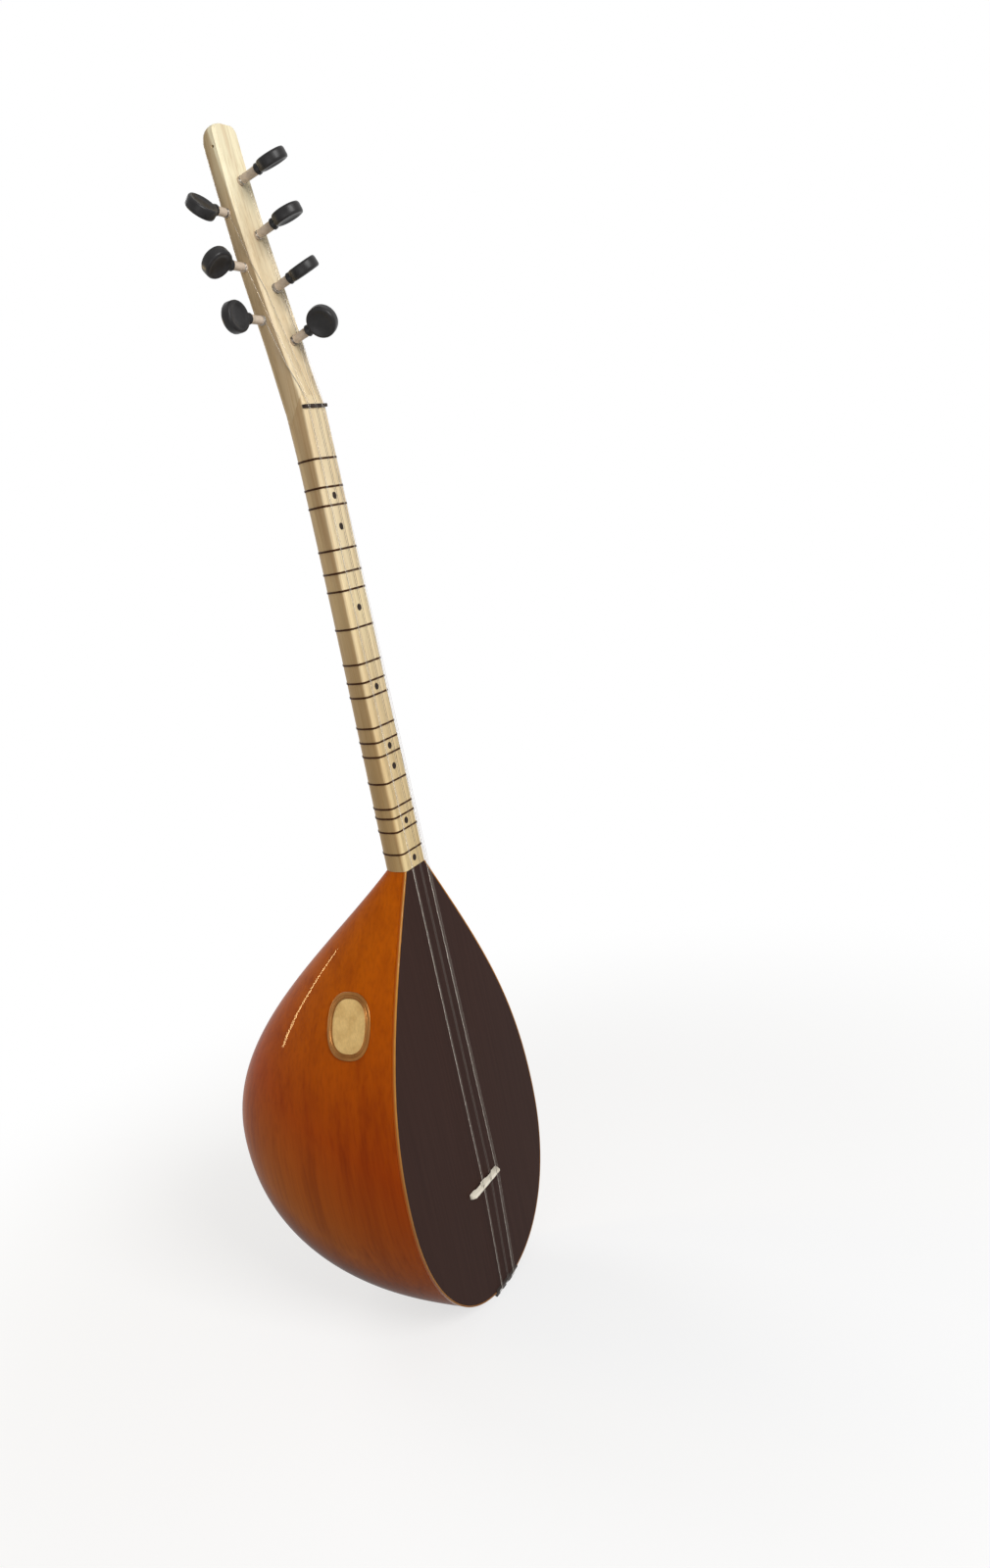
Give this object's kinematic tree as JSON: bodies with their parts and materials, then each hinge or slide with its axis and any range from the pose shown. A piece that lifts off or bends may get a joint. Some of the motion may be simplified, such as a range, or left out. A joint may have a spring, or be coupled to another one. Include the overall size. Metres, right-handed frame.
{
  "type": "short-necked baglama",
  "caption": "Long-necked lute with a deep carved bowl, flat dark soundboard, tied frets, floating bridge and friction pegs on the front and side of a bent-back headstock.",
  "frame": {"origin": "the tail end of the bowl on the centre line, in the plane of the neck's front face", "axes": "+Z along the neck to the headstock, -Y out of the soundboard, +X to the right of someone who faces the soundboard"},
  "size_m": [0.2318, 0.2761, 1.02],
  "materials": {
    "amber_lacquer": "clear gloss lacquer over amber-stained carved wood",
    "maroon_soundboard": "satin, dark maroon-brown",
    "pale_wood": "satin, pale cream-yellow with fine lengthwise grain",
    "cream_binding": "gloss, pale yellow-tan",
    "brace_wood": "bare spruce",
    "black_plastic": "satin black",
    "dark_wood": "satin, near black",
    "ivory_peg": "satin ivory",
    "bridge_wood": "bare pale maple",
    "fret_line": "dark brown tied nylon line",
    "string_steel": "bright drawn wire",
    "gold_plaque": "satin gold, bare",
    "bronze_rim": "satin bronze"
  },
  "bodies": {
    "instrument": {"badge_plaque": "gold_plaque", "badge_rim": "bronze_rim", "bowl": "amber_lacquer", "bridge": "bridge_wood", "dot_1": "black_plastic", "dot_2": "black_plastic", "dot_3": "black_plastic", "dot_4": "black_plastic", "dot_5": "black_plastic", "dot_6": "black_plastic", "dot_7": "black_plastic", "dot_8": "black_plastic", "edge_binding_left": "cream_binding", "edge_binding_right": "cream_binding", "fret_01": "fret_line", "fret_02": "fret_line", "fret_03": "fret_line", "fret_04": "fret_line", "fret_05": "fret_line", "fret_06": "fret_line", "fret_07": "fret_line", "fret_08": "fret_line", "fret_09": "fret_line", "fret_10": "fret_line", "fret_11": "fret_line", "fret_12": "fret_line", "fret_13": "fret_line", "fret_14": "fret_line", "fret_15": "fret_line", "fret_16": "fret_line", "fret_17": "fret_line", "fret_18": "fret_line", "headstock": "pale_wood", "neck": "pale_wood", "nut": "black_plastic", "soundboard": "maroon_soundboard", "soundboard_brace": "brace_wood", "string_1": "string_steel", "string_2": "string_steel", "string_3": "string_steel", "string_4": "string_steel", "string_5": "string_steel", "string_6": "string_steel", "string_7": "string_steel", "string_comb": "dark_wood", "tail_saddle": "dark_wood"},
    "front_peg_1": {"front_peg_1_head": "black_plastic", "front_peg_1_shaft": "ivory_peg"},
    "front_peg_2": {"front_peg_2_head": "black_plastic", "front_peg_2_shaft": "ivory_peg"},
    "front_peg_3": {"front_peg_3_head": "black_plastic", "front_peg_3_shaft": "ivory_peg"},
    "front_peg_4": {"front_peg_4_head": "black_plastic", "front_peg_4_shaft": "ivory_peg"},
    "side_peg_1": {"side_peg_1_head": "black_plastic", "side_peg_1_shaft": "ivory_peg"},
    "side_peg_2": {"side_peg_2_head": "black_plastic", "side_peg_2_shaft": "ivory_peg"},
    "side_peg_3": {"side_peg_3_head": "black_plastic", "side_peg_3_shaft": "ivory_peg"}
  },
  "joints": [
    {"name": "front_peg_1_turn", "type": "hinge", "parent": "instrument", "child": "front_peg_1", "pos_m": [0, 0.00733, 0.84919], "axis": [0, -0.9703, 0.2419], "continuous": true},
    {"name": "front_peg_2_turn", "type": "hinge", "parent": "instrument", "child": "front_peg_2", "pos_m": [0, 0.01307, 0.88999], "axis": [0, -0.9703, 0.2419], "continuous": true},
    {"name": "front_peg_3_turn", "type": "hinge", "parent": "instrument", "child": "front_peg_3", "pos_m": [0, 0.01867, 0.9308], "axis": [0, -0.9739, 0.227], "continuous": true},
    {"name": "front_peg_4_turn", "type": "hinge", "parent": "instrument", "child": "front_peg_4", "pos_m": [0, 0.02302, 0.9718], "axis": [0, -0.9816, 0.1907], "continuous": true},
    {"name": "side_peg_1_turn", "type": "hinge", "parent": "instrument", "child": "side_peg_1", "pos_m": [-0.01527, 0.01999, 0.8674], "axis": [-0.9986, 0.0073, 0.0518], "continuous": true},
    {"name": "side_peg_2_turn", "type": "hinge", "parent": "instrument", "child": "side_peg_2", "pos_m": [-0.01534, 0.02573, 0.9082], "axis": [-0.9986, 0.0073, 0.0518], "continuous": true},
    {"name": "side_peg_3_turn", "type": "hinge", "parent": "instrument", "child": "side_peg_3", "pos_m": [-0.01511, 0.03089, 0.94942], "axis": [-0.9986, 0.0056, 0.052], "continuous": true}
  ]
}
